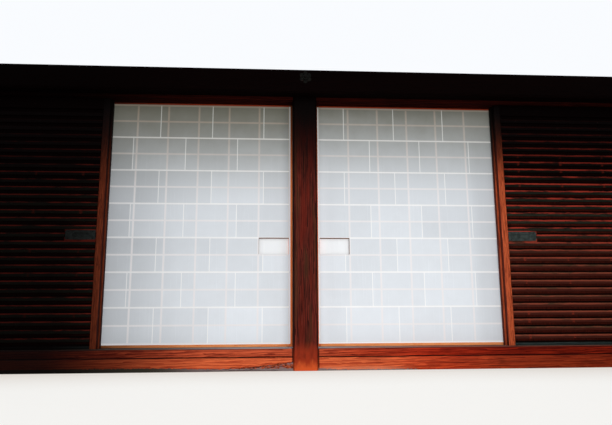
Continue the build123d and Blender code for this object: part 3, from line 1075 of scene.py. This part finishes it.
def lay_paper(side, sign):
    """The pasted sheets of one screen: one skin, with raised laps. It is made for the right
    screen and mirrored for the left one."""
    skin = 0.0003
    lap_rise = 0.0004
    sheet = flat_sheet(f"{side}_screen_sheets")
    laps = cut_laps(sheet)
    open_pull_cell(sheet)
    done()
    sink_cells(sheet, random.Random(f"paper {side}"))

    def lapped(spot):
        return any(left < spot.x < right and low < spot.z < high for left, right, low, high in laps)

    edit(sheet)
    pick(sheet, lapped)
    bpy.ops.mesh.extrude_region_move(TRANSFORM_OT_translate={"value": (0, -lap_rise, 0)})
    done()
    paint(sheet, finishes["paper"], finishes["lap"])
    for face in sheet.data.polygons:
        middle = face.center
        loose = first_column < middle.x < last_column and bottom_line < middle.z
        face.material_index = int(lapped(middle) or not loose)
    modify(sheet, "SOLIDIFY", thickness=skin, offset=-1.0, use_even_offset=False)
    if sign < 0:
        sheet.scale.x = -1
        settle(sheet)
        face_outwards(sheet)
    stand_for(sheet, f"{side}_screen_paper")


def dress_boards(side, door):
    """The upright boards of one door."""
    node = f"{side}_{door}_door_boards"
    piece = merged_copy(node, node + "_worked")
    soften(piece, width=0.0015, segments=1)
    stand_for(piece, node)


def plane_batten(near_x, far_x, front, back, bottom, chance):
    """One batten with chamfered front edges, a little bowed and uneven as if planed by hand."""
    chamfer = 0.0028
    cuts = 14
    most_bow = 0.0008
    most_wander = 0.0004
    middle = (near_x + far_x) / 2
    batten = block("batten", (near_x, front, bottom), (far_x, back, bottom + batten_height))
    edit(batten)
    pick(batten, lambda m: abs(m.y - front) < touching and abs(m.x - middle) < touching, "edges")
    bpy.ops.mesh.bevel(offset=chamfer, segments=2)
    pick(batten, lambda m: abs(m.x - middle) < touching, "edges")
    bpy.ops.mesh.subdivide(number_cuts=cuts)
    done()
    bow, phase = chance.uniform(-most_bow, most_bow), chance.uniform(0, math.tau)
    wander = [chance.uniform(-most_wander, most_wander) for _ in range(cuts + 2)]
    for vertex in batten.data.vertices:
        share = (vertex.co.x - near_x) / (far_x - near_x)
        vertex.co.z += bow * math.sin(math.pi * share + phase) + wander[round(share * (cuts + 1))]
    return batten


def make_battens(side, sign, door):
    """The thirty battens of one door, with their nails."""
    nail_radius = 0.0034
    nail_scatter = 0.004
    nail_heights = (0.42, 0.62)
    node = f"{side}_{door}_door_battens"
    low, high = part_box(node)
    chance = random.Random(node)
    battens = []
    nails = []
    for row in range(batten_count):
        bottom = batten_low.z + row * batten_pitch
        near_x, far_x = low.x + batten_end_gap, high.x - batten_end_gap
        if door == "front" and row == pull_batten:
            plate_low, plate_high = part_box(f"{side}_front_door_pull_plate")
            if sign > 0:
                near_x = plate_high.x + batten_end_gap
            else:
                far_x = plate_low.x - batten_end_gap
        battens.append(plane_batten(near_x, far_x, low.y, high.y, bottom, chance))
        for number in range(nail_rows):
            x = sign * (first_nail + number * nail_spacing) + (left_doors_ahead if sign < 0 else 0.0)
            if near_x < x < far_x:
                height = batten_height * chance.uniform(*nail_heights)
                nails.append((x + chance.uniform(-nail_scatter, nail_scatter), low.y, bottom + height))
    if door == "front":
        battens += plate_carriers(side)
    piece = join(f"{side}_{door}_door_batten_set", battens)
    shade(piece)
    stand_for(piece, node)
    heads = nail_heads(f"{side}_{door}_door_nails", nails, nail_radius)
    paint(heads, finishes["nail"])
    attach(heads, body_of[node])


def plate_carriers(side):
    """Two short strips between the battens that the pull plate is nailed to."""
    overhang = 0.004
    clear_half = 0.018
    seat_gap = 0.0005
    low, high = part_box(f"{side}_front_door_battens")
    plate_low, plate_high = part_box(f"{side}_front_door_pull_plate")
    middle = batten_low.z + pull_batten * batten_pitch + batten_height / 2
    reach = batten_pitch - batten_height / 2 - seat_gap
    left, right = plate_low.x - overhang, plate_high.x + overhang
    strips = []
    for bottom, top in ((middle - reach, middle - clear_half), (middle + clear_half, middle + reach)):
        strips.append(block("carrier", (left, low.y, bottom), (right, high.y, top)))
    return strips


def dress_plate(side):
    """The front door's iron pull plate, with a nail near each end of its upper and lower edges."""
    nail_radius = 0.0036
    inset_x, inset_z = 0.020, 0.010
    node = f"{side}_front_door_pull_plate"
    piece = merged_copy(node, node + "_worked")
    soften(piece, width=0.0006)
    stand_for(piece, node)
    low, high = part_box(node)
    places = [(x, low.y, z)
              for x in (low.x + inset_x, high.x - inset_x)
              for z in (low.z + inset_z, high.z - inset_z)]
    heads = nail_heads(f"{side}_pull_plate_nails", places, nail_radius)
    paint(heads, finishes["nail"])
    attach(heads, body_of[node])


make_camera()
for node, item in frame["nodes"].items():
    paint(item, finish_for(node))
dress_posts()
dress_sills()
dress_head()
forge_nail_cover()
dress_leaf_frames()
for side, sign in sides:
    lay_paper(side, sign)
    dress_plate(side)
    for door in ("front", "middle"):
        dress_boards(side, door)
        make_battens(side, sign, door)


# Floor, world and light

def make_floor():
    """A pale floor that the camera sees mostly at its own colour, with the object's shadow and a
    warm painted shade close to it."""
    painted_shade_close_by = display(206, 190, 176)
    further_off = display(255, 254, 251)
    floor_white = display(250, 248, 245)
    painted_shade_reach = 0.9
    own_share = 0.84
    bpy.ops.object.select_all(action="DESELECT")
    bpy.ops.mesh.primitive_plane_add(size=60)
    floor = bpy.context.active_object
    floor.name = "floor"
    material, shader, place = start("pale_floor")
    feed(shader, Base_Color=floor_white, Roughness=0.8, Specular_IOR_Level=0.1)
    tree = place.tree
    seen = Shade(tree, tree.nodes.new("ShaderNodeLightPath").outputs["Is Camera Ray"])
    glow = tree.nodes.new("ShaderNodeEmission")
    # Painted shade: the glow is warmer and dimmer close to the object
    clear = place.node("AmbientOcclusion", {"samples": 8}, {"Distance": painted_shade_reach}, output=1)
    tree.links.new(clear.mix(painted_shade_close_by, further_off).link, glow.inputs["Color"])
    blend = tree.nodes.new("ShaderNodeMixShader")
    tree.links.new((seen * own_share).link, blend.inputs[0])
    tree.links.new(shader.outputs[0], blend.inputs[1])
    tree.links.new(glow.outputs[0], blend.inputs[2])
    tree.links.new(blend.outputs[0], tree.nodes["Material Output"].inputs[0])
    paint(floor, material)
    return floor


def spare(lamp, floor):
    """Keeps a lamp's light off the floor, which would burn out in it."""
    spared = bpy.data.collections.new("lit_by_" + lamp.name)
    spared.objects.link(floor)
    spared.collection_objects[0].light_linking.link_state = "EXCLUDE"
    lamp.light_linking.receiver_collection = spared


def make_world():
    """An even grey world that looks white to the camera, in reflections and through clear pieces."""
    white = (0.95, 0.97, 1.0, 1.0)
    grey_strength = 0.36
    world = bpy.data.worlds.new("studio")
    bpy.context.scene.world = world
    world.use_nodes = True
    tree = world.node_tree
    background = tree.nodes["Background"]
    rays = tree.nodes.new("ShaderNodeLightPath")
    seen = Shade(tree, rays.outputs["Is Camera Ray"])
    glossy = Shade(tree, rays.outputs["Is Glossy Ray"])
    clear = Shade(tree, rays.outputs["Is Transmission Ray"])
    strength = seen.either(glossy).either(clear).either(grey_strength)
    background.inputs["Color"].default_value = white
    tree.links.new(strength.link, background.inputs["Strength"])


floor = make_floor()
make_world()
low_front = softbox("low_front_softbox", place=(0.40, -2.70, 0.55), aim=(0.20, 0.0, 0.75),
                    size=(3.0, 0.8), power=46)
softbox("high_front_softbox", place=(0.8, -3.8, 3.2), aim=(0.1, 0.0, 1.0), size=(4.0, 1.5), power=30)
back = softbox("back_softbox", place=(0.0, 4.2, 1.6), aim=(0.0, 0.0, 1.0), size=(4.5, 1.6), power=100)
spare(low_front, floor)
spare(back, floor)
bpy.context.scene.view_settings.view_transform = "Standard"
